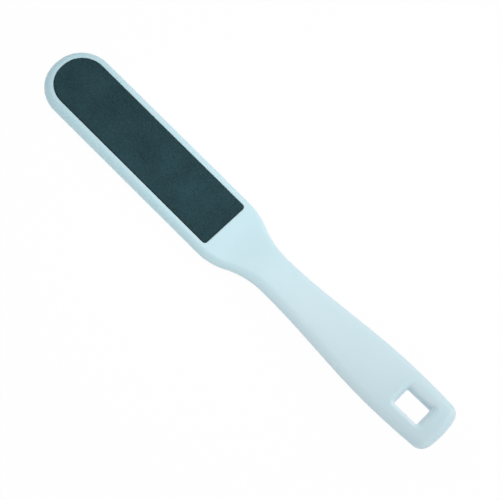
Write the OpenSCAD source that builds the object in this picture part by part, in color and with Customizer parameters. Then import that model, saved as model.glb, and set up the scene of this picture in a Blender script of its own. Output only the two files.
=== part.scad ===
// Two-sided foot file: a one-piece moulded plastic paddle and handle with a
// coated-abrasive pad set into a shallow recess on each face of the paddle.
// The file lies on its rear pad. X runs from the paddle's tip to the handle's
// end, Y across, Z up through the front pad. The origin is on the surface it
// lies on, under the middle of its length.

/* [File] */
// Overall length of the file, from the paddle's tip to the handle's end
file_length = 250; // [235:1:290]

/* [Paddle] */
// Width of the paddle
paddle_width = 35.1; // [30:0.1:40]
// Thickness of the paddle
paddle_thickness = 8; // [6:0.1:8.6]
// How far in the rounded edge of the paddle runs
paddle_edge_run = 3.2; // [2:0.1:3.4]
// How much larger than half the paddle's width the radius of the tip's blunt nose is
nose_extra = 5.3; // [1:0.1:8]
// How much smaller than half the paddle's width the radius beside the nose is
nose_corner_less = 1.1; // [0.3:0.1:3]
// Distance from the tip to where the straight sides end
straight_end = 111.4; // [107:0.1:117]

/* [Shoulder and neck] */
// Width of the neck between paddle and handle
neck_width = 19.9; // [16:0.1:24]
// Radius of the bulging part of the shoulder
shoulder_out_radius = 33; // [24:0.5:44]
// Radius of the hollow part of the shoulder
shoulder_in_radius = 43.5; // [24:0.5:50]

/* [Handle] */
// Width of the handle at its widest
handle_width = 28.7; // [25:0.1:34]
// Distance from the handle's end back to its widest place
widest_from_end = 31.4; // [26:0.1:45]
// Thickness of the handle, crown included
handle_thickness = 8.6; // [8.2:0.1:11]
// How much the middle of the handle stands above its rounded edges, on each face
handle_crown = 0.9; // [0.2:0.1:1.6]
// How far in the rounded edge of the handle runs
handle_edge_run = 4.3; // [3:0.1:4.6]
// Radius of the sides between the widest place and the end
side_radius = 390; // [150:5:400]
// Radius of the handle's blunt end
end_radius = 47; // [35:0.1:80]
// Radius of the corners between the sides and the end
corner_radius = 6; // [4.8:0.1:8]

/* [Crank] */
// Distance from the tip to where the handle starts to lift from the paddle's plane
lift_start = 118; // [118:0.5:126]
// Length over which the shoulder lifts
lift_run = 24; // [22:0.5:36]
// Height gained where the shoulder's lift ends
lift_height = 3; // [0:0.1:5]
// Slope of the handle beyond the lift, in degrees
handle_slope = 3.5; // [0:0.1:5]

/* [Hang hole] */
// Length of the hang hole, along the handle
hole_length = 14; // [10:0.1:16]
// Width of the hang hole, across the handle
hole_width = 10.6; // [7:0.1:11]
// Radius of the hang hole's upright corners
hole_corner_radius = 0.8; // [0.6:0.1:3]
// Distance from the handle's end to the middle of the hang hole
hole_from_end = 18.6; // [18.6:0.1:23]
// How far out the hang hole's rounded rim runs on the front
hole_front_run = 3.4; // [1:0.1:3.4]
// How deep the hang hole's rounded rim goes on the front
hole_front_drop = 4.2; // [0.8:0.1:5.4]
// How far out and how deep the hang hole's rounded rim goes on the rear
hole_rear_rim = 1.4; // [0.3:0.1:1.6]

/* [Abrasive pads] */
// Width of plastic left between the paddle's edge and a pad
pad_border = 4.2; // [3.8:0.1:6]
// Distance from the tip to the squared end of a pad
pad_end = 111.8; // [90:0.1:112]
// Radius of the two corners at the squared end of a pad
pad_corner_radius = 1.5; // [0.5:0.1:5]
// Clearance between a pad and the side of its recess
pad_clearance = 0.3; // [0.2:0.05:0.3]
// Height that a pad stands proud of the plastic
pad_proud = 0.1; // [0:0.05:0.3]
// Thickness of the adhesive film under each pad
adhesive_thickness = 0.1; // [0.05:0.05:0.2]
// Thickness of the waterproof paper that carries the grit
backing_thickness = 0.3; // [0.15:0.05:0.5]
// Thickness of the coarse grit and its resin on the front
front_grit_thickness = 0.45; // [0.2:0.05:0.6]
// Thickness of the fine grit and its resin on the rear
rear_grit_thickness = 0.3; // [0.2:0.05:0.6]

/* [Hidden] */

// Overrun of every cut past the face it opens
cut_overrun = 2;

// Steps along each stretch of the outline, and around each section
nose_steps = 6;
nose_corner_steps = 10;
straight_steps = 4;
shoulder_steps = 8;
flare_steps = 16;
side_steps = 4;
corner_steps = 6;
end_steps = 4;
edge_steps = 6;
crown_steps = 8;
hole_corner_steps = 5;
hole_rim_steps = 5;
pad_corner_steps = 8;

half_paddle = paddle_width / 2;
paddle_mid = pad_proud + paddle_thickness / 2;
paddle_top = pad_proud + paddle_thickness;

// The nose's arc and the arc beside it touch where one line runs through both centres
nose_radius = half_paddle + nose_extra;
nose_corner_radius = half_paddle - nose_corner_less;
nose_gap = nose_radius - nose_corner_radius;
nose_centre = [nose_radius, 0];
nose_corner_centre = [nose_radius - sqrt(nose_gap * nose_gap - nose_corner_less * nose_corner_less),
                      nose_corner_less];
nose_turn = bearing(nose_corner_centre - nose_centre);

// The shoulder is two arcs that meet on a slanting tangent
shoulder_drop = (paddle_width - neck_width) / 2;
shoulder_radii = shoulder_out_radius + shoulder_in_radius;
shoulder_angle = acos(1 - shoulder_drop / shoulder_radii);
neck_x = straight_end + shoulder_radii * sin(shoulder_angle);
widest_x = file_length - widest_from_end;

// The end's corner circle touches the side arc and the end arc from inside
side_centre = [widest_x, handle_width / 2 - side_radius];
end_centre = [file_length - end_radius, 0];
corner_centre = circles_meet(side_centre, side_radius - corner_radius,
                             end_centre, end_radius - corner_radius);
corner_start = bearing(corner_centre - side_centre);
corner_stop = bearing(corner_centre - end_centre);

// How far from the middle the crown's curve reaches at the handle's widest place
crown_reach = handle_width / 2 - handle_edge_run;
// Where the control points of a rounded edge lie, so that it follows a quarter of an ellipse
quarter_share = 0.5523;

hole_x = file_length - hole_from_end;
lift_end = lift_start + lift_run;

function bearing(v) = atan2(v.y, v.x);

// Right-hand meeting point of two circles, looking from the first centre to the second
function circles_meet(a, ra, b, rb) =
    let (gap = norm(b - a),
         ahead = (b - a) / gap,
         right = [ahead.y, -ahead.x],
         along = (ra * ra - rb * rb + gap * gap) / (2 * gap))
    a + ahead * along + right * sqrt(ra * ra - along * along);

function arc(centre, radius, from, to, steps) =
    [for (i = [1:steps]) let (t = from + (to - from) * i / steps)
        centre + radius * [cos(t), sin(t)]];

function ease(u) = u * u * (3 - 2 * u);

// 0 before the first place, 1 past the second, and a smooth change between
function blend(x, first, second) = ease(min(1, max(0, (x - first) / (second - first))));

// Half of the tip's outline, made smaller all round by inset, from its middle to its straight side
function tip(inset) = concat(
    [[inset, 0]],
    arc(nose_centre, nose_radius - inset, 180, nose_turn, nose_steps),
    arc(nose_corner_centre, nose_corner_radius - inset, nose_turn, 90, nose_corner_steps));

// Half of the outline seen from above, from the middle of the tip to the middle of the end
outline = concat(
    tip(0),
    [for (i = [1:straight_steps])
        [nose_corner_centre.x + (straight_end - nose_corner_centre.x) * i / straight_steps,
         half_paddle]],
    arc([straight_end, half_paddle - shoulder_out_radius], shoulder_out_radius,
        90, 90 - shoulder_angle, shoulder_steps),
    arc([neck_x, neck_width / 2 + shoulder_in_radius], shoulder_in_radius,
        270 - shoulder_angle, 270, shoulder_steps),
    [for (i = [1:flare_steps]) let (u = i / flare_steps)
        [neck_x + (widest_x - neck_x) * u,
         neck_width / 2 + (handle_width - neck_width) / 2 * ease(u)]],
    arc(side_centre, side_radius, 90, corner_start, side_steps),
    arc(corner_centre, corner_radius, corner_start, corner_stop, corner_steps),
    arc(end_centre, end_radius, corner_stop, 0, end_steps)
);
last = len(outline) - 1;

// Outward direction of the outline at each of its points
function outward(i) =
    i == 0 ? [-1, 0] :
    i == last ? [1, 0] :
    let (step = outline[i + 1] - outline[i - 1]) [-step.y, step.x] / norm(step);

// Section sizes that change from the paddle's to the handle's through the shoulder
function half_thickness(x) = paddle_thickness / 2
    + (handle_thickness - paddle_thickness) / 2 * blend(x, lift_start, lift_end);
function edge_run(x) = paddle_edge_run
    + (handle_edge_run - paddle_edge_run) * blend(x, lift_start, lift_end);
function crown(x) = handle_crown * blend(x, lift_start, lift_end);

// Height of the middle plane: flat under the paddle, an easy lift, then a straight slope
function middle(x) = paddle_mid + (
    x < lift_start ? 0 :
    x > lift_end ? lift_height + (x - lift_end) * tan(handle_slope) :
    let (u = (x - lift_start) / lift_run)
        lift_height * ease(u) + lift_run * tan(handle_slope) * (u * u * u - u * u));

// How much of the crown a section has: in step with its width up to the widest
// place, then as one shared curve through to the end
function crown_share(x, half_width) = pow(half_width / crown_reach, x < widest_x ? 1 : 2);

// Point of the rounded edge, from the outline (0) to where the crown starts (1), as how
// far in and how high. It leaves the outline upright and meets the crown at its slope.
function edge_point(u, run, height, slope) =
    let (v = 1 - u, early = 3 * v * v * u, late = 3 * v * u * u, full = u * u * u)
    [run * (late * (1 - quarter_share) + full),
     height * (early * quarter_share + late + full) - late * quarter_share * run * slope];

// One ribbon of points round the body: over the right edge, across the crown and
// down the left edge; side is 1 for the front face and -1 for the rear one
function face_points(i, side) =
    let (p = outline[i], n = outward(i), run = edge_run(p.x), inner = p - n * run,
         rise = crown(p.x) * crown_share(p.x, inner.y),
         height = half_thickness(p.x) - rise,
         slope = rise == 0 ? 0 : 2 * rise * n.y / inner.y,
         right = [for (j = [0:edge_steps])
             let (e = edge_point(j / edge_steps, run, height, slope), q = p - n * e[0])
             [q.x, q.y, e[1]]],
         across = [for (j = [1:crown_steps - 1]) let (s = 1 - 2 * j / crown_steps)
             [inner.x, inner.y * s, height + rise * (1 - s * s)]],
         left = [for (j = [edge_steps:-1:0]) [right[j].x, -right[j].y, right[j].z]])
    [for (q = concat(right, across, left)) [q.x, q.y, middle(q.x) + side * q.z]];

face_count = 2 * edge_steps + crown_steps + 1;
ring_count = 2 * face_count - 2;

// A whole ring is the front ribbon and the rear ribbon, joined at the two side points
function ring_points(i) =
    let (front = face_points(i, 1), rear = face_points(i, -1))
    concat(front, [for (j = [face_count - 2:-1:1]) rear[j]]);

// At the tip and at the end the ring closes to one upright line of points
function close_points(i) =
    let (front = face_points(i, 1), rear = face_points(i, -1))
    concat([for (j = [edge_steps:-1:1]) rear[j]], [for (j = [0:edge_steps]) front[j]]);
close_count = 2 * edge_steps + 1;

// Number in the closed line of the point that stands for place j of a ring
function close_place(j) =
    let (k = j % ring_count,
         on_front = k < face_count,
         m = on_front ? k : ring_count - k,
         step = min(m, face_count - 1 - m, edge_steps))
    edge_steps + (on_front ? step : -step);

function place(i, j) =
    i == 0 ? close_place(j) :
    i == last ? close_count + (last - 1) * ring_count + close_place(j) :
    close_count + (i - 1) * ring_count + j % ring_count;

function proper(f) = [for (t = f) if (t[0] != t[1] && t[1] != t[2] && t[2] != t[0]) t];

module paddle_and_handle() {
    points = concat(
        close_points(0),
        [for (i = [1:last - 1]) each ring_points(i)],
        close_points(last)
    );
    faces = proper([for (i = [0:last - 1]) for (j = [0:ring_count - 1]) each [
        [place(i, j), place(i + 1, j + 1), place(i, j + 1)],
        [place(i, j), place(i + 1, j), place(i + 1, j + 1)]
    ]]);
    polyhedron(points = points, faces = faces);
}

// Outline of a pad, made larger all round by grow
module pad_outline(grow = 0) {
    inset = pad_border - grow;
    corner = pad_corner_radius + grow;
    corner_x = pad_end - pad_corner_radius;
    corner_y = half_paddle - pad_border - pad_corner_radius;
    half = concat(
        tip(inset),
        [[corner_x, half_paddle - inset]],
        arc([corner_x, corner_y], corner, 90, 0, pad_corner_steps));
    polygon(concat(half, [for (i = [len(half) - 1:-1:1]) [half[i].x, -half[i].y]]));
}

// A flat layer of a pad, from one height to a higher one
module pad_layer(low, high) {
    translate([-file_length / 2, 0, low])
        linear_extrude(height = high - low)
            pad_outline();
}

// Rounded rectangle that is the hang hole's plan, made larger all round by grow
function hole_loop(grow) =
    let (corner = hole_corner_radius + grow)
    [for (quarter = [0:3]) for (j = [0:hole_corner_steps])
        let (t = 90 * (quarter + j / hole_corner_steps),
             sx = quarter == 0 || quarter == 3 ? 1 : -1,
             sy = quarter < 2 ? 1 : -1)
        [hole_x + sx * (hole_length / 2 - hole_corner_radius) + corner * cos(t),
         sy * (hole_width / 2 - hole_corner_radius) + corner * sin(t)]];

// Height of the crowned face above the middle plane, near the hang hole
function hole_face(y) = handle_thickness / 2 - handle_crown * pow(y / crown_reach, 2);

// One ring of the hole's cutter, this far outside its plan and this far below a face.
// Side is 1 on the front and -1 on the rear.
function hole_ring(grow, drop, side) =
    [for (p = hole_loop(grow)) [p.x, p.y, middle(p.x) + side * (hole_face(p.y) - drop)]];

// The rings of one rounded rim, from its face to where the hole's straight wall starts
function hole_rim(run, drop, side) =
    [for (j = [0:hole_rim_steps]) let (t = 90 * j / hole_rim_steps)
        hole_ring(run * (1 - sin(t)), drop * (1 - cos(t)), side)];

module hang_hole() {
    rear = hole_rim(hole_rear_rim, hole_rear_rim, -1);
    rings = concat(
        [hole_ring(hole_front_run, -cut_overrun, 1)],
        hole_rim(hole_front_run, hole_front_drop, 1),
        [for (j = [hole_rim_steps:-1:0]) rear[j]],
        [hole_ring(hole_rear_rim, -cut_overrun, -1)]
    );
    count = len(rings[0]);
    lid = [for (j = [1:count - 2]) [0, j + 1, j]];
    floor_start = (len(rings) - 1) * count;
    wall = [for (i = [0:len(rings) - 2]) for (j = [0:count - 1]) each [
        [i * count + j, i * count + (j + 1) % count, (i + 1) * count + (j + 1) % count],
        [i * count + j, (i + 1) * count + (j + 1) % count, (i + 1) * count + j]
    ]];
    base = [for (j = [1:count - 2]) [floor_start, floor_start + j, floor_start + j + 1]];
    polyhedron(points = [for (r = rings) each r], faces = concat(lid, wall, base));
}

front_stack = adhesive_thickness + backing_thickness + front_grit_thickness;
rear_stack = adhesive_thickness + backing_thickness + rear_grit_thickness;
front_floor = paddle_top + pad_proud - front_stack;
rear_floor = rear_stack;

module body() {
    color([0.80, 0.89, 0.92])
        translate([-file_length / 2, 0, 0])
            difference() {
                paddle_and_handle();
                translate([0, 0, front_floor])
                    linear_extrude(height = front_stack + cut_overrun)
                        pad_outline(pad_clearance);
                translate([0, 0, rear_floor - rear_stack - cut_overrun])
                    linear_extrude(height = rear_stack + cut_overrun)
                        pad_outline(pad_clearance);
                hang_hole();
            }
}

module front_adhesive() {
    color([0.90, 0.86, 0.70])
        pad_layer(front_floor, front_floor + adhesive_thickness);
}

module front_backing() {
    color([0.33, 0.33, 0.32])
        pad_layer(front_floor + adhesive_thickness,
                  front_floor + adhesive_thickness + backing_thickness);
}

module front_grit() {
    color([0.17, 0.27, 0.29])
        pad_layer(front_floor + adhesive_thickness + backing_thickness,
                  front_floor + front_stack);
}

module rear_adhesive() {
    color([0.90, 0.86, 0.70])
        pad_layer(rear_floor - adhesive_thickness, rear_floor);
}

module rear_backing() {
    color([0.33, 0.33, 0.32])
        pad_layer(rear_grit_thickness, rear_floor - adhesive_thickness);
}

module rear_grit() {
    color([0.20, 0.29, 0.31])
        pad_layer(0, rear_grit_thickness);
}

body();
front_adhesive();
front_backing();
front_grit();
rear_adhesive();
rear_backing();
rear_grit();
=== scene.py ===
"""Two-sided foot file: a moulded body with a grit pad on each face, dressed over its CAD frame."""

import math
import random
from types import SimpleNamespace

import bmesh
import bpy
from mathutils import Matrix, Vector
from mathutils.geometry import delaunay_2d_cdt


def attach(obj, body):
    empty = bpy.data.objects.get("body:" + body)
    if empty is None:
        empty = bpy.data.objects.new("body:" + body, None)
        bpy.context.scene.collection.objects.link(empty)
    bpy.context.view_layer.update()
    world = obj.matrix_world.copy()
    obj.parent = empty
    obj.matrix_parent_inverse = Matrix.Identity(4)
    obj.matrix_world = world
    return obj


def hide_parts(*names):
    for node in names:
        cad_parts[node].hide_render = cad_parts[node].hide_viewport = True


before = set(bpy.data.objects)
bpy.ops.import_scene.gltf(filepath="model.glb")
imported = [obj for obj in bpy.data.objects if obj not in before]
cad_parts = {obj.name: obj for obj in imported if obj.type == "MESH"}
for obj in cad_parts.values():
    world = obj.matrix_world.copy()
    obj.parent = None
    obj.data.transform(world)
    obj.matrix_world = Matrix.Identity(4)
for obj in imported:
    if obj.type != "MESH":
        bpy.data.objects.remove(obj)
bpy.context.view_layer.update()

bl_info = {
    "name": "Foot file",
    "version": (1, 0, 0),
    "blender": (4, 5, 0),
    "location": "View3D > Sidebar > Foot file",
    "description": "Builds a two-sided foot file, its finishes and its studio",
    "category": "Add Mesh",
}

MM = 0.001


def linear(hex_code):
    """An sRGB hex colour as the linear red, green and blue that shaders take."""
    channels = [int(hex_code[i : i + 2], 16) / 255 for i in (1, 3, 5)]
    return [c / 12.92 if c <= 0.04045 else ((c + 0.055) / 1.055) ** 2.4 for c in channels]


def length(label, description, millimetres):
    """A size, written in millimetres and kept in metres."""
    return bpy.props.FloatProperty(
        name=label,
        description=description,
        default=millimetres * MM,
        unit="LENGTH",
        subtype="DISTANCE",
        precision=5,
    )


def share(label, description, default):
    """A share or brightness from 0 to 1."""
    return bpy.props.FloatProperty(
        name=label, description=description, default=default, min=0.0, max=1.0, subtype="FACTOR"
    )


def colour(label, description, hex_code):
    """A colour, written as sRGB hex and kept linear."""
    return bpy.props.FloatVectorProperty(
        name=label,
        description=description,
        default=linear(hex_code),
        size=3,
        min=0.0,
        max=1.0,
        subtype="COLOR",
    )


def angle(label, description, degrees):
    """An angle, written in degrees and kept in radians."""
    return bpy.props.FloatProperty(
        name=label,
        description=description,
        default=math.radians(degrees),
        subtype="ANGLE",
        unit="ROTATION",
    )


class BodySizes(bpy.types.PropertyGroup):
    """The moulded body's sizes, as its CAD solid has them, and what only shows close up."""

    file_length: length("Length", "From the paddle's tip to the handle's end", 250)
    paddle_width: length("Paddle width", "Width of the paddle", 35.1)
    paddle_thickness: length("Paddle thickness", "Thickness of the paddle", 8)
    paddle_edge_run: length("Paddle edge run", "How far in the rounded edge of the paddle runs", 3.2)
    nose_extra: length("Nose extra", "The tip's radius less half the paddle's width", 5.3)
    nose_corner_less: length("Nose corners", "Half the paddle's width less the radius beside the tip", 1.1)
    straight_end: length("Straight end", "From the tip to where the straight sides end", 111.4)
    neck_width: length("Neck width", "Width of the neck between paddle and handle", 19.9)
    shoulder_out_radius: length("Shoulder bulge", "Radius of the bulging part of the shoulder", 33)
    shoulder_in_radius: length("Shoulder hollow", "Radius of the hollow part of the shoulder", 43.5)
    handle_width: length("Handle width", "Width of the handle at its widest", 28.7)
    widest_from_end: length("Widest place", "From the handle's end back to its widest place", 31.4)
    handle_thickness: length("Handle thickness", "Thickness of the handle, crown included", 8.6)
    handle_crown: length("Handle crown", "How far the handle's middle stands above its edges", 0.9)
    handle_edge_run: length("Handle edge run", "How far in the rounded edge of the handle runs", 4.3)
    side_radius: length("Side radius", "Radius of the sides between the widest place and the end", 390)
    end_radius: length("End radius", "Radius of the handle's blunt end", 47)
    corner_radius: length("Corner radius", "Radius of the corners between the sides and the end", 6)
    lift_start: length("Lift start", "From the tip to where the handle starts to lift", 118)
    lift_run: length("Lift run", "Length over which the shoulder lifts", 24)
    lift_height: length("Lift height", "Height gained where the shoulder's lift ends", 3)
    handle_slope: angle("Handle slope", "Slope of the handle beyond the lift", 3.5)
    hole_length: length("Hole length", "Length of the hang hole, along the handle", 14)
    hole_width: length("Hole width", "Width of the hang hole, across the handle", 10.6)
    hole_corner_radius: length("Hole corners", "Radius of the hang hole's upright corners", 0.8)
    hole_from_end: length("Hole place", "From the handle's end to the middle of the hang hole", 18.6)
    hole_front_run: length("Hole front run", "How far out the hang hole's rounded rim runs on the front", 3.4)
    hole_front_drop: length("Hole front drop", "How deep the hang hole's rounded rim goes on the front", 4.2)
    hole_rear_rim: length("Hole rear rim", "How far out and how deep the rounded rim goes on the rear", 1.4)
    parting_width: length("Parting line width", "Width of the seam where the mould's halves met", 0.24)
    parting_height: length("Parting line height", "How far that seam stands out", 0.03)
    recess_lip: length("Recess lip", "Radius of the lip round each pad's recess", 0.1)


class PadSizes(bpy.types.PropertyGroup):
    """Sizes of the two glued-on pads, as their CAD solids have them, and of the grit's grains."""

    border: length("Border", "Plastic left between the paddle's edge and a pad", 4.2)
    end: length("End", "From the tip to the squared end of a pad", 111.8)
    corner_radius: length("Corners", "Radius of the two corners at the squared end", 1.5)
    clearance: length("Clearance", "Between a pad and the side of its recess", 0.3)
    proud: length("Proud", "How far a pad stands above the plastic", 0.1)
    adhesive: length("Adhesive", "Thickness of the adhesive film", 0.1)
    backing: length("Backing", "Thickness of the waterproof paper", 0.3)
    front_grit: length("Front grit", "Thickness of the coarse coat", 0.45)
    rear_grit: length("Rear grit", "Thickness of the fine coat", 0.3)
    # Grains of such coats lie about 0.25 and 0.12 mm apart. They are spaced wider here, so that they show
    coarse_grain: length("Coarse grain", "Spacing of the front coat's grains", 0.36)
    coarse_depth: length("Coarse depth", "Depth of the hollows between the front coat's grains", 0.13)
    fine_grain: length("Fine grain", "Spacing of the rear coat's grains", 0.3)
    fine_depth: length("Fine depth", "Depth of the hollows between the rear coat's grains", 0.06)
    worn_edge: length("Worn edge", "Width of the band at a pad's edge that has lost height", 0.5)


class Colours(bpy.types.PropertyGroup):
    """Colours of the finishes."""

    plastic: colour("Plastic", "Polypropylene of the body", "#D0E4EA")
    plastic_flow: colour("Plastic flow", "Faint tint where the melt flowed thicker", "#CBE1E8")
    # Painted shade: the paddle's plastic is drawn darker than the handle's
    painted_paddle_shade: colour("Plastic paddle", "Slightly deeper tint of the paddle", "#C4E2EA")
    # Painted shade: multiplied over both ends to draw them darker
    painted_end_shade: colour("Plastic ends", "Tint laid over both ends, where it deepens", "#F9FBFC")
    # Painted light: makes the upper part of the hang hole's long walls paler
    painted_wall_light: colour("Plastic wall", "Paler upper part of the hang hole's long walls", "#DAEAF0")
    grain_dark: colour("Dark grains", "Darkest silicon carbide grains", "#142C32")
    grain_light: colour("Light grains", "Lightest silicon carbide grains", "#2D4E55")
    resin: colour("Resin", "Size coat between the grains and at the pads' edges", "#14262A")
    paper: colour("Paper", "Latex-filled backing paper", "#3C4C4C")
    adhesive: colour("Adhesive", "Acrylic transfer film", "#E6DBB2")


class Studio(bpy.types.PropertyGroup):
    """Camera, light and floor."""

    picture_width: length("Picture width", "Width of what the camera sees at the object", 231.35)
    aim: bpy.props.FloatVectorProperty(
        name="Aim",
        description="Point in the middle of the picture",
        default=(2.9 * MM, 0.82 * MM, 6 * MM),
        size=3,
        unit="LENGTH",
        subtype="TRANSLATION",
        precision=5,
    )
    azimuth: angle("Azimuth", "Compass bearing of the camera from the object", -71.98)
    elevation: angle("Elevation", "Height of the camera above the horizon", 68.75)
    roll: angle("Roll", "Turn of the camera about its line of sight", 27.87)
    world_level: share("World", "Brightness of the white surroundings on the object", 0.65)
    top_level: share("Top lamp", "Brightness on what faces the lamp over the paddle", 0.28)
    side_level: share("Side lamp", "Brightness on what faces the lamp beside the handle", 0.24)
    end_level: share("End lamp", "Brightness on what faces the lamp beyond the handle's end", 0.13)
    shadow: share("Shadow", "How much of the object's shadow the white floor shows", 0.03)
    floor_white: colour("Floor", "Paper that the file lies on", "#F8F8F8")


def ease(u):
    """A smooth change from 0 to 1, level at both ends."""
    return u * u * (3 - 2 * u)


def blend(x, first, second):
    """0 before the first place, 1 past the second, and a smooth change between."""
    return ease(min(1.0, max(0.0, (x - first) / (second - first))))


def arc(centre, radius, start, stop, steps):
    """Points of an arc after its start, with its angles in radians."""
    turns = [start + (stop - start) * (i + 1) / steps for i in range(steps)]
    return [Vector((centre[0] + radius * math.cos(t), centre[1] + radius * math.sin(t))) for t in turns]


def straight(start, stop, steps):
    """Points of a straight line after its start."""
    return [Vector(start).lerp(Vector(stop), (i + 1) / steps) for i in range(steps)]


def circles_meet(a, radius_a, b, radius_b):
    """Right-hand meeting point of two circles, looking from the first centre to the second."""
    gap = (b - a).length
    ahead = (b - a) / gap
    along = (radius_a**2 - radius_b**2 + gap**2) / (2 * gap)
    return a + ahead * along + Vector((ahead.y, -ahead.x)) * math.sqrt(radius_a**2 - along**2)


def bearing(v):
    """Angle of a flat vector from the file's length, in radians."""
    return math.atan2(v.y, v.x)


# Steps along each stretch of the body's outline, and around each of its sections
NOSE_STEPS = 12
NOSE_CORNER_STEPS = 22
STRAIGHT_STEPS = 30
SHOULDER_STEPS = 18
FLARE_STEPS = 50
SIDE_STEPS = 20
CORNER_STEPS = 14
END_STEPS = 16
EDGE_STEPS = 11
CROWN_STEPS = 24
HOLE_CORNER_STEPS = 10
HOLE_RIM_STEPS = 12
LIP_STEPS = 4

# Spacing of points round a recess, and how far its cutter stands above the face
RECESS_SPACING = 1 * MM
RECESS_ABOVE = 2 * MM
# The lip is a quarter turn that leaves out this share at its start and goes this share of its radius deep.
# So it starts a hair above the face, and the cut meets the face at a clear angle
LIP_START = 0.1
LIP_DEPTH = 0.96

# Edges of the body sharper than this keep a crease
CREASE = math.radians(35)

# Where the control points of a rounded edge lie, so that it follows a quarter of an ellipse
QUARTER_SHARE = 0.5523


class BodyShape:
    """The body's outline and sections, worked out from its sizes as in the CAD. X starts at the tip."""

    def __init__(self, sizes, pads):
        self.sizes = s = sizes
        self.half_paddle = s.paddle_width / 2
        self.nose_radius = self.half_paddle + s.nose_extra
        self.nose_corner_radius = self.half_paddle - s.nose_corner_less
        gap = self.nose_radius - self.nose_corner_radius
        self.nose_centre = Vector((self.nose_radius, 0))
        corner_back = math.sqrt(gap**2 - s.nose_corner_less**2)
        self.nose_corner_centre = Vector((self.nose_radius - corner_back, s.nose_corner_less))
        self.nose_turn = bearing(self.nose_corner_centre - self.nose_centre)
        self.middle_start = pads.proud + s.paddle_thickness / 2
        self.lift_end = s.lift_start + s.lift_run
        self.widest_x = s.file_length - s.widest_from_end
        self.hole_x = s.file_length - s.hole_from_end
        self.crown_reach = s.handle_width / 2 - s.handle_edge_run
        self.points = self.outline()
        self.normals = [self.outward(i) for i in range(len(self.points))]

    def tip(self, inset, nose_steps, corner_steps):
        """Half of the tip's outline, smaller all round by inset, from its middle to its straight side."""
        turn, corner_radius = self.nose_turn, self.nose_corner_radius - inset
        return [
            Vector((inset, 0)),
            *arc(self.nose_centre, self.nose_radius - inset, math.pi, turn, nose_steps),
            *arc(self.nose_corner_centre, corner_radius, turn, math.pi / 2, corner_steps),
        ]

    def outline(self):
        """Half of the outline seen from above, from the middle of the tip to the middle of the end."""
        s = self.sizes
        radii = s.shoulder_out_radius + s.shoulder_in_radius
        turn = math.acos(1 - (s.paddle_width - s.neck_width) / 2 / radii)
        neck_x = s.straight_end + radii * math.sin(turn)
        flare = []
        for i in range(FLARE_STEPS):
            u = (i + 1) / FLARE_STEPS
            half = s.neck_width / 2 + (s.handle_width - s.neck_width) / 2 * ease(u)
            flare.append(Vector((neck_x + (self.widest_x - neck_x) * u, half)))
        side = Vector((self.widest_x, s.handle_width / 2 - s.side_radius))
        end = Vector((s.file_length - s.end_radius, 0))
        corner = circles_meet(side, s.side_radius - s.corner_radius, end, s.end_radius - s.corner_radius)
        up = math.pi / 2
        straight_start = (self.nose_corner_centre.x, self.half_paddle)
        straight_stop = (s.straight_end, self.half_paddle)
        bulge = (s.straight_end, self.half_paddle - s.shoulder_out_radius)
        hollow = (neck_x, s.neck_width / 2 + s.shoulder_in_radius)
        return [
            *self.tip(0, NOSE_STEPS, NOSE_CORNER_STEPS),
            *straight(straight_start, straight_stop, STRAIGHT_STEPS),
            *arc(bulge, s.shoulder_out_radius, up, up - turn, SHOULDER_STEPS),
            *arc(hollow, s.shoulder_in_radius, -up - turn, -up, SHOULDER_STEPS),
            *flare,
            *arc(side, s.side_radius, up, bearing(corner - side), SIDE_STEPS),
            *arc(corner, s.corner_radius, bearing(corner - side), bearing(corner - end), CORNER_STEPS),
            *arc(end, s.end_radius, bearing(corner - end), 0, END_STEPS),
        ]

    def outward(self, i):
        """Unit vector out of the body's side at one point of the outline."""
        if i == 0:
            return Vector((-1, 0))
        if i == len(self.points) - 1:
            return Vector((1, 0))
        step = self.points[i + 1] - self.points[i - 1]
        return Vector((-step.y, step.x)).normalized()

    def change(self, x, paddle, handle):
        """A section size that changes from the paddle's to the handle's through the shoulder."""
        return paddle + (handle - paddle) * blend(x, self.sizes.lift_start, self.lift_end)

    def middle(self, x):
        """Height of the middle plane: flat under the paddle, an easy lift, then a straight slope."""
        s = self.sizes
        slope = math.tan(s.handle_slope)
        if x < s.lift_start:
            return self.middle_start
        if x > self.lift_end:
            return self.middle_start + s.lift_height + (x - self.lift_end) * slope
        u = (x - s.lift_start) / s.lift_run
        return self.middle_start + s.lift_height * ease(u) + s.lift_run * slope * (u**3 - u**2)

    def edge(self, run, height, slope):
        """The rounded edge as how far in and how high, from the parting line to where the crown starts."""
        s = self.sizes
        profile = [(0.0, 0.0), (s.parting_height, s.parting_width / 2)]
        for j in range(EDGE_STEPS):
            u = (j + 1) / EDGE_STEPS
            v = 1 - u
            early, late, full = 3 * v * v * u, 3 * v * u * u, u**3
            inward = run * (late * (1 - QUARTER_SHARE) + full)
            high = height * (early * QUARTER_SHARE + late + full) - late * QUARTER_SHARE * run * slope
            profile.append((inward + s.parting_height * v * v, high))
        return profile

    def half_ring(self, i, side):
        """Points over the right edge, across the crown and down the left edge of one section."""
        p, n = self.points[i], self.normals[i]
        s = self.sizes
        run = self.change(p.x, s.paddle_edge_run, s.handle_edge_run)
        inner = p - n * run
        reach = inner.y / self.crown_reach
        rise = self.change(p.x, 0, s.handle_crown) * (reach if p.x < self.widest_x else reach**2)
        height = self.change(p.x, s.paddle_thickness, s.handle_thickness) / 2 - rise
        slope = 2 * rise * n.y / inner.y if rise else 0
        right = [(*(p - n * inward), high) for inward, high in self.edge(run, height, slope)]
        across = []
        for j in range(1, CROWN_STEPS):
            t = 1 - 2 * j / CROWN_STEPS
            across.append((inner.x, inner.y * t, height + rise * (1 - t * t)))
        left = [(x, -y, z) for x, y, z in reversed(right)]
        return [(x, y, self.middle(x) + side * z) for x, y, z in right + across + left]

    def mesh(self):
        """Points and faces of the whole closed body, before its recesses and hole are cut."""
        edge_last = EDGE_STEPS + 1
        half = 2 * edge_last + CROWN_STEPS + 1
        ring = 2 * half - 2
        last = len(self.points) - 1

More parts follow.
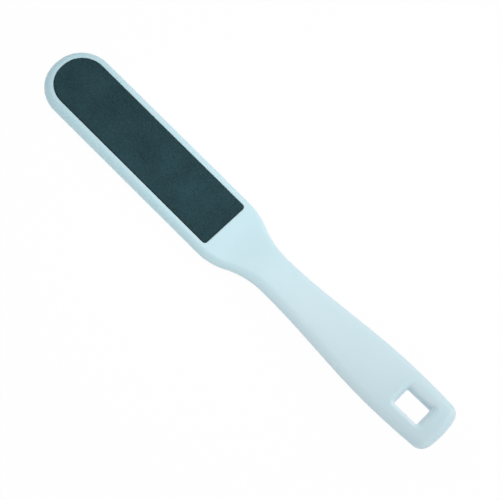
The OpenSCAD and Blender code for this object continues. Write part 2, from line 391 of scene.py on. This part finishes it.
        def closing(i):
            """The first or last section: one line from the rear face over the edge to the front face."""
            front, rear = self.half_ring(i, 1), self.half_ring(i, -1)
            return rear[edge_last:0:-1] + front[: edge_last + 1]

        points = closing(0)
        for i in range(1, last):
            points += self.half_ring(i, 1) + self.half_ring(i, -1)[half - 2 : 0 : -1]
        points += closing(last)
        line = 2 * edge_last + 1

        def closing_place(j):
            """Which point of that line stands for point j of a whole section."""
            k = j % ring
            m = k if k < half else ring - k
            step = min(m, half - 1 - m, edge_last)
            return edge_last + (step if k < half else -step)

        def place(i, j):
            """Which of all the points is point j of section i."""
            if i == 0:
                return closing_place(j)
            if i == last:
                return line + (last - 1) * ring + closing_place(j)
            return line + (i - 1) * ring + j % ring

        faces = []
        for i in range(last):
            for j in range(ring):
                corners = place(i, j), place(i + 1, j), place(i + 1, j + 1), place(i, j + 1)
                face = list(dict.fromkeys(corners))
                if len(face) > 2:
                    faces.append(face)
        return points, faces


def pad_loop(shape, pads, grow, spacing):
    """Outline of a pad seen from above, made larger all round by grow."""
    inset = pads.border - grow
    half = shape.half_paddle - inset
    corner = pads.corner_radius + grow
    far = pads.end + grow
    side_x = shape.nose_corner_centre.x
    up = math.pi / 2

    def steps(run):
        """How many steps a run takes at about this spacing."""
        return max(2, round(run / spacing))

    side_steps = steps(far - corner - side_x)
    nose_steps = steps((math.pi - shape.nose_turn) * (shape.nose_radius - inset))
    corner_steps = steps((shape.nose_turn - up) * (shape.nose_corner_radius - inset))
    tip = shape.tip(inset, nose_steps, corner_steps)
    return [
        *straight((far, corner - half), (far, half - corner), steps(2 * (half - corner))),
        *arc((far - corner, half - corner), corner, 0, up, steps(up * corner)),
        *straight((far - corner, half), (side_x, half), side_steps),
        *tip[-2::-1],
        *[Vector((p.x, -p.y)) for p in tip[1:]],
        *straight((side_x, -half), (far - corner, -half), side_steps),
        *arc((far - corner, corner - half), corner, -up, 0, steps(up * corner)),
    ]


def pad_depth(shape, pads, x, y):
    """How far inside a pad's outline a point lies. It is negative outside."""
    p = Vector((x, abs(y)))
    if x < shape.nose_corner_centre.x:
        from_nose = p - shape.nose_centre
        if (shape.nose_corner_centre - shape.nose_centre).cross(from_nose) > 0:
            return shape.nose_radius - pads.border - from_nose.length
        return shape.nose_corner_radius - pads.border - (p - shape.nose_corner_centre).length
    from_side, from_end = shape.half_paddle - pads.border - p.y, pads.end - x
    corner = pads.corner_radius
    if from_side < corner and from_end < corner:
        return corner - math.hypot(corner - from_side, corner - from_end)
    return min(from_side, from_end)


def hole_loop(shape, grow):
    """Rounded rectangle that is the hang hole's plan, made larger all round by grow."""
    s = shape.sizes
    corner = s.hole_corner_radius
    radius = corner + grow
    points = []
    for quarter, (sx, sy) in enumerate([(1, 1), (-1, 1), (-1, -1), (1, -1)]):
        x, y = shape.hole_x + sx * (s.hole_length / 2 - corner), sy * (s.hole_width / 2 - corner)
        start = quarter * math.pi / 2
        points.append(Vector((x + radius * math.cos(start), y + radius * math.sin(start))))
        points += arc((x, y), radius, start, start + math.pi / 2, HOLE_CORNER_STEPS)
    return points


def new_mesh(name, points, faces):
    """A mesh object from points that start at the tip, moved to the frame's middle."""
    back = bpy.context.scene.foot_file_body.file_length / 2
    mesh = bpy.data.meshes.new(name)
    mesh.from_pydata([(p[0] - back, p[1], p[2]) for p in points], [], faces)
    mesh.update()
    made = bpy.data.objects.new(name, mesh)
    bpy.context.scene.collection.objects.link(made)
    return made


def new_cutter(name, rings):
    """A closed solid through rings of points, listed from the top one down."""
    count = len(rings[0])
    points = [p for ring in rings for p in ring]
    faces = [list(range(count)), list(range(len(points) - 1, len(points) - count - 1, -1))]
    for i in range(len(rings) - 1):
        for j in range(count):
            k = (j + 1) % count
            faces.append([i * count + j, (i + 1) * count + j, (i + 1) * count + k, i * count + k])
    return new_mesh(name, points, faces)


def recess_cutter(name, shape, pads, face_z, depth, side):
    """What a mould leaves free for a pad: side is 1 on the front and -1 on the rear."""
    lip = shape.sizes.recess_lip

    def ring(grow, drop):
        """The recess's outline, larger all round by grow and lower than the face by drop."""
        loop = pad_loop(shape, pads, pads.clearance + grow, RECESS_SPACING)
        return [(p.x, p.y, face_z - side * drop) for p in loop]

    rings = [ring(lip, -RECESS_ABOVE)]
    for j in range(LIP_STEPS + 1):
        t = math.pi / 2 * (j / LIP_STEPS * (1 - LIP_START) + LIP_START)
        rings.append(ring(lip * (1 - math.sin(t)), lip * (LIP_DEPTH - math.cos(t))))
    rings.append(ring(0, depth))
    return new_cutter(name, rings if side > 0 else rings[::-1])


def hole_cutter(shape):
    """The hang hole, with a broad rounded rim on the front and a small one on the rear."""
    s = shape.sizes

    def ring(grow, drop, side):
        """The hole's plan, larger all round by grow and deeper than the crowned face by drop."""
        points = []
        for p in hole_loop(shape, grow):
            face = s.handle_thickness / 2 - s.handle_crown * (p.y / shape.crown_reach) ** 2
            points.append((p.x, p.y, shape.middle(p.x) + side * (face - drop)))
        return points

    def rim(run, drop, side):
        """Rings down a rounded rim, from the face to the hole's straight wall."""
        turns = [math.pi / 2 * j / HOLE_RIM_STEPS for j in range(HOLE_RIM_STEPS + 1)]
        return [ring(run * (1 - math.sin(t)), drop * (1 - math.cos(t)), side) for t in turns]

    rings = [
        ring(s.hole_front_run, -s.handle_thickness / 2, 1),
        *rim(s.hole_front_run, s.hole_front_drop, 1),
        *reversed(rim(s.hole_rear_rim, s.hole_rear_rim, -1)),
        ring(s.hole_rear_rim, -s.handle_thickness / 2, -1),
    ]
    return new_cutter("hole_cutter", rings)


def cut(piece, cutters):
    """Cuts solids out of a piece and removes them."""
    for cutter in cutters:
        modifier = piece.modifiers.new(cutter.name, "BOOLEAN")
        modifier.operation = "DIFFERENCE"
        modifier.solver = "EXACT"
        modifier.object = cutter
    graph = bpy.context.evaluated_depsgraph_get()
    cut_mesh = bpy.data.meshes.new_from_object(piece.evaluated_get(graph))
    piece.modifiers.clear()
    old, piece.data = piece.data, cut_mesh
    bpy.data.meshes.remove(old)
    for cutter in cutters:
        mesh = cutter.data
        bpy.data.objects.remove(cutter)
        bpy.data.meshes.remove(mesh)


def add_node(tree, kind, inputs=None, **settings):
    """Adds a shader node. Each input is a value, or the output socket that feeds it."""
    node = tree.nodes.new("ShaderNode" + kind)
    for name, value in settings.items():
        setattr(node, name, value)
    for key, value in (inputs or {}).items():
        if isinstance(value, bpy.types.NodeSocket):
            tree.links.new(value, node.inputs[key])
        else:
            node.inputs[key].default_value = value
    return node


def new_material(name):
    """An empty material, its node tree, and its place in object space, in millimetres."""
    material = bpy.data.materials.new(name)
    material.use_nodes = True
    tree = material.node_tree
    tree.nodes.clear()
    place = add_node(tree, "TexCoord").outputs["Object"]
    in_mm = add_node(tree, "VectorMath", {0: place, "Scale": 1 / MM}, operation="SCALE").outputs["Vector"]
    return material, tree, in_mm


def show(tree, shader):
    """Makes a shader the material's surface."""
    add_node(tree, "OutputMaterial", {"Surface": shader.outputs[0]})


def rgba(rgb):
    """A colour with full alpha, as a socket takes it."""
    return (*rgb, 1.0)


def painted_wall_light_share(tree, place, spot, shape):
    """How much painted light a place gets, as the upper part of the hang hole's long walls, from 0 to 1."""
    s = shape.sizes
    middle = ((shape.hole_x - s.file_length / 2) / MM, 0, 0)
    from_middle = add_node(tree, "VectorMath", {0: place, 1: middle}, operation="SUBTRACT").outputs[0]
    aside = add_node(tree, "VectorMath", {0: from_middle}, operation="ABSOLUTE").outputs[0]
    opening = (s.hole_length / 2 / MM, s.hole_width / 2 / MM, 0)
    past = add_node(tree, "VectorMath", {0: aside, 1: opening}, operation="SUBTRACT").outputs[0]
    past_x, past_y, _ = add_node(tree, "SeparateXYZ", {"Vector": past}).outputs
    rim = s.hole_front_run / MM
    face = (shape.middle(shape.hole_x) + s.handle_thickness / 2) / MM
    # Each row fades the share in, from where it is none to where it is full, in millimetres: outside the
    # opening, inside the rim, between the hole's ends, and in the upper half of the wall
    light_share = 1.0
    for value, none, full in (
        (past_y, -0.8, 0.0),
        (past_y, 0.85 * rim, 0.4 * rim),
        (past_x, 2.0, -1.0),
        (spot["Z"], face - 4.4, face - 2.2),
    ):
        part = add_node(tree, "MapRange", {"Value": value, "From Min": none, "From Max": full})
        light_share = add_node(tree, "Math", {0: light_share, 1: part.outputs["Result"]}, operation="MULTIPLY").outputs[0]
    return light_share


def tint_with_painted_light_and_shade(tree, place, colours, shape):
    """The plastic's colour: faint clouds, with painted shade that darkens the paddle and both ends, and
    painted light that makes the hang hole's walls paler.
    """
    # The melt's flow tints the plastic in clouds some 30 mm long and 12 mm wide
    stretched = add_node(tree, "VectorMath", {0: place, 1: (12 / 30, 1.0, 1.0)}, operation="MULTIPLY")
    flow = add_node(
        tree,
        "TexNoise",
        {"Vector": stretched.outputs["Vector"], "Scale": 1 / 12, "Detail": 2.0, "Roughness": 0.5},
    )
    clouded = add_node(
        tree,
        "Mix",
        {"Factor": flow.outputs["Fac"], "A": rgba(colours.plastic), "B": rgba(colours.plastic_flow)},
        data_type="RGBA",
    )
    # Painted shade: the colour darkens from 45 mm on the handle's side of the middle to 35 mm on the paddle's
    spot = add_node(tree, "SeparateXYZ", {"Vector": place}).outputs
    far = add_node(tree, "MapRange", {"Value": spot["X"], "From Min": 45.0, "From Max": -35.0})
    paddle_shaded = add_node(
        tree,
        "Mix",
        {
            "Factor": far.outputs["Result"],
            "A": clouded.outputs["Result"],
            "B": rgba(colours.painted_paddle_shade),
        },
        data_type="RGBA",
    )
    # Painted shade: the colour darkens a little more over the last 40 mm at the tip and at the handle's end
    half_length = shape.sizes.file_length / 2 / MM
    reach = add_node(tree, "Math", {0: spot["X"]}, operation="ABSOLUTE").outputs[0]
    end_shade_share = add_node(
        tree, "MapRange", {"Value": reach, "From Min": half_length - 40, "From Max": half_length}
    )
    ends_shaded = add_node(
        tree,
        "Mix",
        {
            "Factor": end_shade_share.outputs["Result"],
            "A": paddle_shaded.outputs["Result"],
            "B": rgba(colours.painted_end_shade),
        },
        data_type="RGBA",
        blend_type="MULTIPLY",
    )
    # Painted light: the upper part of the hang hole's long walls is drawn paler
    light_share = painted_wall_light_share(tree, place, spot, shape)
    wall_lit = add_node(
        tree,
        "Mix",
        {"Factor": light_share, "A": ends_shaded.outputs["Result"], "B": rgba(colours.painted_wall_light)},
        data_type="RGBA",
    )
    return wall_lit.outputs["Result"]


def polypropylene(colours, shape):
    """Injection-moulded polypropylene: pale, satin and faintly see-through, with soft broad highlights,
    the fine tooth of a spark-eroded mould, and a smoother sheen where a hand has rubbed it."""
    material, tree, place = new_material("moulded_polypropylene")
    # Rubbed patches about 8 mm across vary the gloss
    rub = add_node(tree, "TexNoise", {"Vector": place, "Scale": 1 / 8, "Detail": 3.0, "Roughness": 0.6})
    gloss = add_node(
        tree,
        "MapRange",
        {"Value": rub.outputs["Fac"], "From Min": 0.3, "From Max": 0.7, "To Min": 0.36, "To Max": 0.46},
    )
    # Spark erosion leaves pits some 0.1 mm across. They are drawn 0.35 mm across to show at all
    pits = add_node(tree, "TexNoise", {"Vector": place, "Scale": 1 / 0.35, "Detail": 2.0, "Roughness": 0.55})
    # Shrinkage leaves the faces gently uneven, in waves some 9 mm long
    waves = add_node(tree, "TexNoise", {"Vector": place, "Scale": 1 / 9, "Detail": 1.0})
    uneven = add_node(tree, "Bump", {"Strength": 0.25, "Distance": 0.05 * MM, "Height": waves.outputs["Fac"]})
    toothed = add_node(
        tree,
        "Bump",
        {
            "Strength": 0.2,
            "Distance": 0.01 * MM,
            "Height": pits.outputs["Fac"],
            "Normal": uneven.outputs["Normal"],
        },
    )
    shader = add_node(
        tree,
        "BsdfPrincipled",
        {
            "Base Color": tint_with_painted_light_and_shade(tree, place, colours, shape),
            "Roughness": gloss.outputs["Result"],
            "Normal": toothed.outputs["Normal"],
            "IOR": 1.49,
            "Subsurface Weight": 0.5,
            "Subsurface Radius": (1.0, 0.9, 0.85),
            "Subsurface Scale": 1.2 * MM,
        },
    )
    show(tree, shader)
    return material


def silicon_carbide(name, colours, grain, tooth):
    """Silicon carbide grains in phenolic resin: near-black blue-green crystals with dull facets, a few of
    them catching the light, set in darker resin that shows most at the worn edge of the pad."""
    material, tree, place = new_material(name)
    tone = add_node(tree, "Attribute", attribute_name="grain_tone").outputs["Fac"]
    worn = add_node(tree, "Attribute", attribute_name="worn_edge").outputs["Fac"]
    # Chips half a grain across break up each modelled grain
    chips = add_node(tree, "TexVoronoi", {"Vector": place, "Scale": 2 * MM / grain})
    chip_tone = add_node(tree, "SeparateColor", {"Color": chips.outputs["Color"]}).outputs[0]
    both = add_node(tree, "Mix", {"Factor": 0.45, "A": tone, "B": chip_tone})
    # The coat was laid unevenly, in drifts about 14 mm across
    drift = add_node(tree, "TexNoise", {"Vector": place, "Scale": 1 / 14, "Detail": 3.0})
    shade = add_node(tree, "Math", {0: both.outputs["Result"], 1: drift.outputs["Fac"]}, operation="ADD")
    level = add_node(tree, "MapRange", {"Value": shade.outputs[0], "From Min": 0.45, "From Max": 1.55})
    grains = add_node(
        tree,
        "Mix",
        {"Factor": level.outputs["Result"], "A": rgba(colours.grain_dark), "B": rgba(colours.grain_light)},
        data_type="RGBA",
    )
    coat = add_node(
        tree,
        "Mix",
        {"Factor": worn, "A": grains.outputs["Result"], "B": rgba(colours.resin)},
        data_type="RGBA",
    )
    # A few chips are clean crystal faces that glint
    gloss = add_node(
        tree,
        "MapRange",
        {"Value": chip_tone, "From Min": 0.9, "From Max": 0.96, "To Min": 0.82, "To Max": 0.42},
    )
    facets = add_node(tree, "Bump", {"Strength": 0.5, "Distance": tooth, "Height": chips.outputs["Distance"]})
    shader = add_node(
        tree,
        "BsdfPrincipled",
        {
            "Base Color": coat.outputs["Result"],
            "Roughness": gloss.outputs["Result"],
            "Normal": facets.outputs["Normal"],
            "IOR": 1.6,
            "Specular IOR Level": 0.12,
        },
    )
    show(tree, shader)
    return material


def latex_paper(colours):
    """Latex-filled waterproof paper, calendered smooth: dull dark grey-green, with cloudy fibres."""
    material, tree, place = new_material("latex_filled_paper")
    # Fibres about 0.04 mm thick and a millimetre long. They are drawn five times as thick to show
    along = add_node(tree, "VectorMath", {0: place, 1: (1.0, 5.0, 5.0)}, operation="MULTIPLY")
    fibres = add_node(
        tree,
        "TexNoise",
        {"Vector": along.outputs["Vector"], "Scale": 1.0, "Detail": 4.0, "Roughness": 0.65},
    )
    pale = add_node(tree, "HueSaturation", {"Value": 1.35, "Color": rgba(colours.paper)})
    tint = add_node(
        tree,
        "Mix",
        {"Factor": fibres.outputs["Fac"], "A": rgba(colours.paper), "B": pale.outputs["Color"]},
        data_type="RGBA",
    )
    dull = add_node(tree, "MapRange", {"Value": fibres.outputs["Fac"], "To Min": 0.7, "To Max": 0.9})
    matted = add_node(tree, "Bump", {"Strength": 0.4, "Distance": 0.03 * MM, "Height": fibres.outputs["Fac"]})
    shader = add_node(
        tree,
        "BsdfPrincipled",
        {
            "Base Color": tint.outputs["Result"],
            "Roughness": dull.outputs["Result"],
            "Normal": matted.outputs["Normal"],
            "IOR": 1.5,
        },
    )
    show(tree, shader)
    return material


def acrylic_adhesive(colours):
    """Acrylic transfer adhesive, cast as a film: glossy, yellowish and cloudy, with tiny trapped bubbles."""
    material, tree, place = new_material("acrylic_adhesive")
    # Bubbles about 0.3 mm apart
    bubbles = add_node(tree, "TexVoronoi", {"Vector": place, "Scale": 1 / 0.3})
    cloudy = add_node(tree, "MapRange", {"Value": bubbles.outputs["Distance"], "To Min": 0.12, "To Max": 0.3})
    dimpled = add_node(
        tree,
        "Bump",
        {"Strength": 0.3, "Distance": 0.02 * MM, "Height": bubbles.outputs["Distance"]},
    )
    clouds = add_node(tree, "TexNoise", {"Vector": place, "Scale": 1 / 4, "Detail": 2.0})
    pale = add_node(
        tree,
        "HueSaturation",
        {"Saturation": 0.7, "Value": 1.05, "Color": rgba(colours.adhesive)},
    )
    tint = add_node(
        tree,
        "Mix",
        {"Factor": clouds.outputs["Fac"], "A": rgba(colours.adhesive), "B": pale.outputs["Color"]},
        data_type="RGBA",
    )
    shader = add_node(
        tree,
        "BsdfPrincipled",
        {
            "Base Color": tint.outputs["Result"],
            "Roughness": cloudy.outputs["Result"],
            "Normal": dimpled.outputs["Normal"],
            "IOR": 1.47,
            "Subsurface Weight": 0.3,
            "Subsurface Scale": 0.5 * MM,
        },
    )
    show(tree, shader)
    return material


def plain_sizes(group):
    """A property group's values, read once."""
    return SimpleNamespace(**{name: getattr(group, name) for name in group.__annotations__})


class FOOTFILE_OT_body(bpy.types.Operator):
    """Builds the moulded body with its parting line, pad recesses and hang hole"""

    bl_idname = "footfile.body"
    bl_label = "Moulded body"

    def execute(self, context):
        scene = context.scene
        sizes, pads = plain_sizes(scene.foot_file_body), plain_sizes(scene.foot_file_pads)
        shape = BodyShape(sizes, pads)
        body = new_mesh("moulded_body", *shape.mesh())
        front_depth = pads.front_grit + pads.backing + pads.adhesive - pads.proud
        rear_depth = pads.rear_grit + pads.backing + pads.adhesive - pads.proud
        front_face = pads.proud + sizes.paddle_thickness
        cut(
            body,
            [
                recess_cutter("front_recess", shape, pads, front_face, front_depth, 1),
                recess_cutter("rear_recess", shape, pads, pads.proud, rear_depth, -1),
                hole_cutter(shape),
            ],
        )
        if len(body.data.polygons) < len(shape.points):
            raise RuntimeError("the body's cuts failed")
        body.data.shade_smooth()
        body.data.set_sharp_from_angle(angle=CREASE)
        weighted = body.modifiers.new("even_shading", "WEIGHTED_NORMAL")
        weighted.keep_sharp = True
        body.data.materials.clear()
        body.data.materials.append(polypropylene(scene.foot_file_colours, shape))
        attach(body, "root")
        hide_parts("body")
        return {"FINISHED"}


# Seeds of the coats' grains, and the depth of the facets that are drawn on them
COARSE_SEED = 11
FINE_SEED = 12
COARSE_TOOTH = 0.1 * MM
FINE_TOOTH = 0.05 * MM
# In shares of the grains' spacing: the spacing of the points at a coat's edge, the most that a grain strays,
# and the room that grains leave beside the ledge, a line of points inside the edge
EDGE_SPACING = 0.8
STRAY = 0.3
LEDGE_ROOM = 0.5
# The worn band is this many times as wide as the strip between edge and ledge
BAND_OVER_LEDGE = 3
# In shares of the hollows' depth: how low the edge and the ledge lie, and what wear takes off the edge itself
EDGE_SUNK = 0.35
EDGE_LOST = 0.9
# With a higher power more of the grains stand near the top
STANDING_POWER = 1.6
# The triangulation fills the inside of a loop. Points nearer than this, in millimetres, count as one there
FILL_INSIDE = 1
SAME_PLACE = 1e-5


def grain_places(shape, pads, grain, ledge_depth, dice):
    """Places of the grains inside the ledge: staggered rows, in which each grain has strayed a little."""
    row_step = grain * math.sqrt(3) / 2
    half = shape.half_paddle - pads.border
    rows = int(2 * half / row_step) + 1
    columns = int(pads.end / grain) + 1
    places = []
    for row in range(rows):
        for column in range(columns):
            x = grain * (column + row % 2 / 2) + dice.uniform(-STRAY, STRAY) * grain
            y = -half + row * row_step + dice.uniform(-STRAY, STRAY) * grain
            if pad_depth(shape, pads, x, y) > ledge_depth + grain * LEDGE_ROOM:
                places.append(Vector((x, y)))
    return places


def filled(flat, loop):
    """Triangles that join all the points inside a loop, as numbers of the points."""
    points, _, faces, origins, _, _ = delaunay_2d_cdt(flat, loop, [], FILL_INSIDE, SAME_PLACE)
    if len(points) != len(flat):
        raise RuntimeError("grains fell on each other")
    return [[origins[i][0] for i in face] for face in faces]


def grit_coat(name, shape, pads, grain, hollow, low, high, seed):
    """A closed coat of grains: rough at the height high, and smooth at low, where it lies on the paper."""
    dice = random.Random(seed)
    side = 1 if high > low else -1
    ledge_depth = pads.worn_edge / BAND_OVER_LEDGE
    rim = pad_loop(shape, pads, 0, grain * EDGE_SPACING)
    ledge = pad_loop(shape, pads, -ledge_depth, grain * EDGE_SPACING)
    inside = grain_places(shape, pads, grain, ledge_depth, dice)
    flat = [p / MM for p in rim + ledge + inside]
    count = len(rim)
    loop = [(i, (i + 1) % count) for i in range(count)]
    points, tones, worn = [], [], []
    for i, p in enumerate(flat):
        x, y = p * MM
        near_edge = max(0.0, 1 - pad_depth(shape, pads, x, y) / pads.worn_edge)
        # Grains stand unevenly, more of them near the top. Resin evens out the edge
        at_edge = i < count + len(ledge)
        sunk = hollow * (EDGE_SUNK if at_edge else dice.random() ** STANDING_POWER)
        lost = (sunk + hollow * near_edge * EDGE_LOST) * side
        points.append((x, y, high - lost))
        tones.append(0.5 if at_edge else dice.random())
        worn.append(near_edge)
    start = len(points)
    for p in flat[:count]:
        points.append((*(p * MM), low))
        tones.append(0.0)
        worn.append(1.0)
    faces = filled(flat, loop)
    faces += [[start + i for i in reversed(face)] for face in filled(flat[:count], loop)]
    faces += [[i, start + i, start + (i + 1) % count, (i + 1) % count] for i in range(count)]
    coat = new_mesh(name, points, faces)
    fixer = bmesh.new()
    fixer.from_mesh(coat.data)
    bmesh.ops.recalc_face_normals(fixer, faces=fixer.faces)
    fixer.to_mesh(coat.data)
    fixer.free()
    for label, values in (("grain_tone", tones), ("worn_edge", worn)):
        coat.data.attributes.new(label, "FLOAT", "POINT").data.foreach_set("value", values)
    return coat


class FOOTFILE_OT_grit(bpy.types.Operator):
    """Builds the coarse grit coat on the front and the fine one on the rear"""

    bl_idname = "footfile.grit"
    bl_label = "Grit coats"

    def execute(self, context):
        scene = context.scene
        sizes, pads = plain_sizes(scene.foot_file_body), plain_sizes(scene.foot_file_pads)
        shape = BodyShape(sizes, pads)
        high = sizes.paddle_thickness + 2 * pads.proud
        low = high - pads.front_grit
        colours = scene.foot_file_colours
        coarse, fine = (pads.coarse_grain, pads.coarse_depth), (pads.fine_grain, pads.fine_depth)
        front = grit_coat("coarse_grit_coat", shape, pads, *coarse, low, high, COARSE_SEED)
        rear = grit_coat("fine_grit_coat", shape, pads, *fine, pads.rear_grit, 0.0, FINE_SEED)
        for coat, finish, grain, tooth, node, slot in (
            (front, "coarse_silicon_carbide", pads.coarse_grain, COARSE_TOOTH, "front_grit", "coarse_grit"),
            (rear, "fine_silicon_carbide", pads.fine_grain, FINE_TOOTH, "rear_grit", "fine_grit"),
        ):
            coat.data.materials.append(silicon_carbide(finish, colours, grain, tooth))
            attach(coat, "root")
            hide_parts(node)
        return {"FINISHED"}


class FOOTFILE_OT_pad_layers(bpy.types.Operator):
    """Finishes the paper and the adhesive film under each grit coat"""

    bl_idname = "footfile.pad_layers"
    bl_label = "Paper and adhesive"

    def execute(self, context):
        colours = context.scene.foot_file_colours
        for nodes, material in (
            (("front_backing", "rear_backing"), latex_paper(colours)),
            (("front_adhesive", "rear_adhesive"), acrylic_adhesive(colours)),
        ):
            for node in nodes:
                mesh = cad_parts[node].data
                mesh.materials.clear()
                mesh.materials.append(material)
        return {"FINISHED"}


def white_paper(studio):
    """Matt white paper, which the camera sees as plain white with a share of the object's soft shadow."""
    material = bpy.data.materials.new("matt_white_paper")
    material.use_nodes = True
    tree = material.node_tree
    tree.nodes.clear()
    paper = add_node(tree, "BsdfDiffuse", {"Color": rgba(studio.floor_white)})
    glow = add_node(tree, "Emission", {"Strength": 1.0})
    part = add_node(tree, "Math", {0: seen_plainly(tree), 1: 1 - studio.shadow}, operation="MULTIPLY")
    show(tree, add_node(tree, "MixShader", {0: part.outputs[0], 1: paper.outputs[0], 2: glow.outputs[0]}))
    return material


def seen_plainly(tree):
    """1 for camera, glossy and transmission rays, which see a plain white background, and 0 for light."""
    rays = add_node(tree, "LightPath").outputs
    either = add_node(tree, "Math", {0: rays["Is Camera Ray"], 1: rays["Is Glossy Ray"]}, operation="MAXIMUM")
    return add_node(
        tree, "Math", {0: either.outputs[0], 1: rays["Is Transmission Ray"]}, operation="MAXIMUM"
    ).outputs[0]


# The lens fits the photo's perspective, on a sensor of this width
LENS = 129.4 * MM
SENSOR = 36 * MM
# The nearest and the farthest that the camera draws, as shares of its distance from the file
CLIP_NEAR = 0.1
CLIP_FAR = 4
# Half the floor's side, in metres
FLOOR_HALF = 12.0
# Each soft lamp's level, compass bearing and height in degrees, and in metres its distance, its size and the
# place along the file that it faces
LAMPS = (
    ("top_level", 90, 86, 0.15, 0.12, -0.025),
    ("side_level", 58, 30, 0.40, 0.18, 0.0),
    ("end_level", -20, 20, 0.80, 0.3, 0.0),
)


def direction(azimuth, elevation):
    """Unit vector towards a compass bearing and a height, in radians."""
    level = math.cos(elevation)
    return Vector((math.cos(azimuth) * level, math.sin(azimuth) * level, math.sin(elevation)))


def facing(place, right, up, back):
    """A matrix that puts a camera or lamp at a place, looking away from back."""
    turned = Matrix((right, up, back)).transposed().to_4x4()
    return Matrix.Translation(place) @ turned


def add_camera(scene, studio):
    """Adds the camera and gives back its upward direction."""
    back = direction(studio.azimuth, studio.elevation)
    level_right = Vector((0, 0, 1)).cross(back).normalized()
    level_up = back.cross(level_right)
    up = level_up * math.cos(studio.roll) - level_right * math.sin(studio.roll)
    lens = bpy.data.cameras.new("camera")
    lens.sensor_width = SENSOR / MM
    lens.lens = LENS / MM
    distance = studio.picture_width * LENS / SENSOR
    lens.clip_start = distance * CLIP_NEAR
    lens.clip_end = distance * CLIP_FAR
    camera = bpy.data.objects.new("camera", lens)
    scene.collection.objects.link(camera)
    camera.matrix_world = facing(Vector(studio.aim) + back * distance, up.cross(back), up, back)
    scene.camera = camera
    return up


def add_lamps(scene, studio, up):
    """Adds the soft lamps, turned about their own line of sight to suit an upward direction."""
    for name, azimuth, elevation, distance, size, place in LAMPS:
        toward = direction(math.radians(azimuth), math.radians(elevation))
        right = up.cross(toward).normalized()
        lamp = bpy.data.lights.new(name, "AREA")
        lamp.shape = "SQUARE"
        lamp.size = size
        # A small lamp of this power adds its level to the brightness of white that faces it
        lamp.energy = getattr(studio, name) * math.pi**2 * distance**2
        stand = bpy.data.objects.new(name, lamp)
        scene.collection.objects.link(stand)
        spot = Vector((place, 0, 0)) + toward * distance
        stand.matrix_world = facing(spot, right, toward.cross(right), toward)
        stand.visible_camera = False


def add_world(scene, studio):
    """Adds surroundings that the camera sees as plain white. The file is lit by a duller white."""
    world = bpy.data.worlds.new("white_surroundings")
    world.use_nodes = True
    tree = world.node_tree
    tree.nodes.clear()
    seen = {"Value": seen_plainly(tree), "To Min": studio.world_level, "To Max": 1.0}
    level = add_node(tree, "MapRange", seen).outputs["Result"]
    light = add_node(tree, "Background", {"Color": rgba((1.0, 1.0, 1.0)), "Strength": level})
    add_node(tree, "OutputWorld", {"Surface": light.outputs[0]})
    scene.world = world


def add_floor(scene, studio):
    """Adds the white floor, which is not attached to the file."""
    half = FLOOR_HALF
    mesh = bpy.data.meshes.new("floor")
    corners = [(-half, -half, 0), (half, -half, 0), (half, half, 0), (-half, half, 0)]
    mesh.from_pydata(corners, [], [(0, 1, 2, 3)])
    floor = bpy.data.objects.new("floor", mesh)
    scene.collection.objects.link(floor)
    mesh.materials.append(white_paper(studio))


class FOOTFILE_OT_studio(bpy.types.Operator):
    """Sets up the camera, the soft light and the white floor"""

    bl_idname = "footfile.studio"
    bl_label = "Studio"

    def execute(self, context):
        scene = context.scene
        studio = scene.foot_file_studio
        up = add_camera(scene, studio)
        add_lamps(scene, studio, up)
        add_world(scene, studio)
        add_floor(scene, studio)
        scene.view_settings.view_transform = "Standard"
        return {"FINISHED"}


STEPS = (FOOTFILE_OT_studio, FOOTFILE_OT_body, FOOTFILE_OT_grit, FOOTFILE_OT_pad_layers)


class FOOTFILE_PT_panel(bpy.types.Panel):
    """Lists the file's sizes, colours and building steps"""

    bl_idname = "FOOTFILE_PT_panel"
    bl_label = "Foot file"
    bl_space_type = "VIEW_3D"
    bl_region_type = "UI"
    bl_category = "Foot file"

    def draw(self, context):
        for step in STEPS:
            self.layout.operator(step.bl_idname)
        for pointer, group in GROUPS.items():
            box = self.layout.box()
            box.label(text=group.__doc__)
            for name in group.__annotations__:
                box.prop(getattr(context.scene, pointer), name)


GROUPS = {
    "foot_file_body": BodySizes,
    "foot_file_pads": PadSizes,
    "foot_file_colours": Colours,
    "foot_file_studio": Studio,
}
CLASSES = (*GROUPS.values(), *STEPS, FOOTFILE_PT_panel)


def register():
    """Adds the panel, the building steps and the sizes to Blender."""
    for cls in CLASSES:
        bpy.utils.register_class(cls)
    for pointer, group in GROUPS.items():
        setattr(bpy.types.Scene, pointer, bpy.props.PointerProperty(type=group))


def unregister():
    """Takes them out again."""
    for pointer in GROUPS:
        delattr(bpy.types.Scene, pointer)
    for cls in reversed(CLASSES):
        bpy.utils.unregister_class(cls)


def main():
    """Builds the whole scene."""
    register()
    bpy.ops.footfile.studio()
    bpy.ops.footfile.body()
    bpy.ops.footfile.grit()
    bpy.ops.footfile.pad_layers()
    bpy.context.view_layer.update()


if __name__ == "__main__":
    main()
